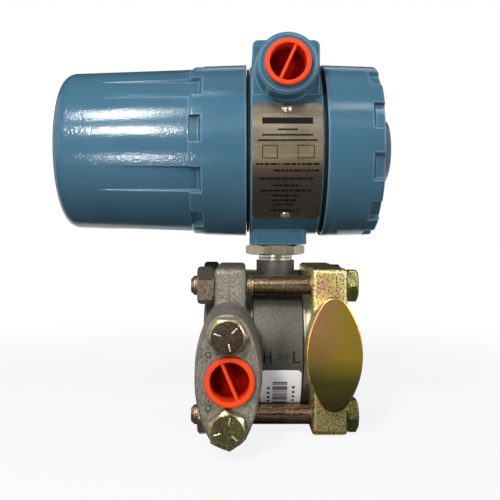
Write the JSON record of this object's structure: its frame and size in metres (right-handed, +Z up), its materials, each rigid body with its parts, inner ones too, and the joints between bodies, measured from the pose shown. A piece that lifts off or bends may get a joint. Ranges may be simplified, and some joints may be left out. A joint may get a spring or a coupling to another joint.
{
  "type": "gauge pressure transmitter",
  "caption": "Industrial gauge pressure transmitter: painted housing with screw covers and a conduit hub, swivelling on a flanged sensor drum with an oval process adapter.",
  "frame": {"origin": "centre of the bounding box's bottom face, in the plane the flange edges stand on", "axes": "+X along the housing barrel towards the short cover, +Y out of the rear conduit entry, +Z up the sensor's neck"},
  "size_m": [0.1764, 0.1404, 0.2],
  "materials": {
    "blue_paint": "semi-gloss baked paint over cast aluminium",
    "black_rubber": "matt",
    "plate_steel": "brushed, etched fields",
    "rivet_steel": "bright drive screws",
    "orange_plastic": "moulded, slight gloss",
    "neck_steel": "turned, plated",
    "drum_steel": "fine turned",
    "foil_steel": "bright foil",
    "gasket_white": "plain",
    "header_glass": "fused",
    "cast_stainless": "sand cast, matt grain",
    "yellow_zinc": "yellow chromate with slight iridescence",
    "bolt_plating": "brownish-gold plating, bright thread",
    "nut_plating": "yellow chromate with pink and green tints",
    "adapter_bolt_steel": "satin plating",
    "white_film": "matt printed film",
    "board_green": "solder mask",
    "pack_black": "potted case",
    "spacer_brass": "turned",
    "screw_steel": "zinc plated",
    "terminal_plastic": "moulded",
    "terminal_brass": "nickel-free brass"
  },
  "bodies": {
    "sensor": {"sensor_module": "drum_steel", "sensing_cell": "drum_steel", "high_diaphragm": "foil_steel", "low_diaphragm": "foil_steel", "high_gasket": "gasket_white", "low_gasket": "gasket_white", "header_seal": "header_glass", "high_flange": "cast_stainless", "blank_flange": "yellow_zinc", "flange_bolts": "bolt_plating", "flange_nuts": "nut_plating", "flange_adapter": "cast_stainless", "adapter_seal": "gasket_white", "adapter_bolts": "adapter_bolt_steel", "sensor_label": "white_film"},
    "housing": {"housing": "blue_paint", "nameplate": "plate_steel", "nameplate_rivets": "rivet_steel", "amplifier_board": "board_green", "electronics_pack": "pack_black", "pack_spacers": "spacer_brass", "pack_screws": "screw_steel", "terminal_block": "terminal_plastic", "terminal_screws": "terminal_brass", "block_screws": "screw_steel"},
    "lock_nut": {"lock_nut": "neck_steel"},
    "long_cover_seal": {"long_cover_seal": "black_rubber"},
    "long_cover": {"long_cover": "blue_paint"},
    "short_cover_seal": {"short_cover_seal": "black_rubber"},
    "short_cover": {"short_cover": "blue_paint"},
    "conduit_plug": {"conduit_plug": "orange_plastic"},
    "process_plug": {"process_plug": "orange_plastic"}
  },
  "joints": [
    {"name": "housing_swivel", "type": "hinge", "parent": "sensor", "child": "housing", "pos_m": [0.02655, 0.01615, 0.1], "axis": [0, 0, 1], "range_deg": [-90, 90]},
    {"name": "lock_nut_turn", "type": "hinge", "parent": "sensor", "child": "lock_nut", "pos_m": [0.02655, 0.01615, 0.0927], "axis": [0, 0, 1], "range_deg": [-60, 60]},
    {"name": "long_cover_travel", "type": "slide", "parent": "housing", "child": "long_cover_seal", "axis": [-1, 0, 0], "range_m": [0, 0.00635]},
    {"name": "long_cover_turn", "type": "hinge", "parent": "long_cover_seal", "child": "long_cover", "pos_m": [-0.03, 0.01615, 0.1473], "axis": [-1, 0, 0], "range_deg": [0, 1080]},
    {"name": "short_cover_travel", "type": "slide", "parent": "housing", "child": "short_cover_seal", "axis": [1, 0, 0], "range_m": [0, 0.00635]},
    {"name": "short_cover_turn", "type": "hinge", "parent": "short_cover_seal", "child": "short_cover", "pos_m": [0.07, 0.01615, 0.1473], "axis": [1, 0, 0], "range_deg": [0, 1080]},
    {"name": "conduit_plug_pull", "type": "slide", "parent": "housing", "child": "conduit_plug", "axis": [0, -1, 0], "range_m": [0, 0.02]},
    {"name": "process_plug_pull", "type": "slide", "parent": "sensor", "child": "process_plug", "axis": [0, -1, 0], "range_m": [0, 0.02]}
  ],
  "couplings": [
    {"joint": "long_cover_travel", "follows": "long_cover_turn", "m_per_rad": 0.00033688},
    {"joint": "short_cover_travel", "follows": "short_cover_turn", "m_per_rad": 0.00033688}
  ]
}
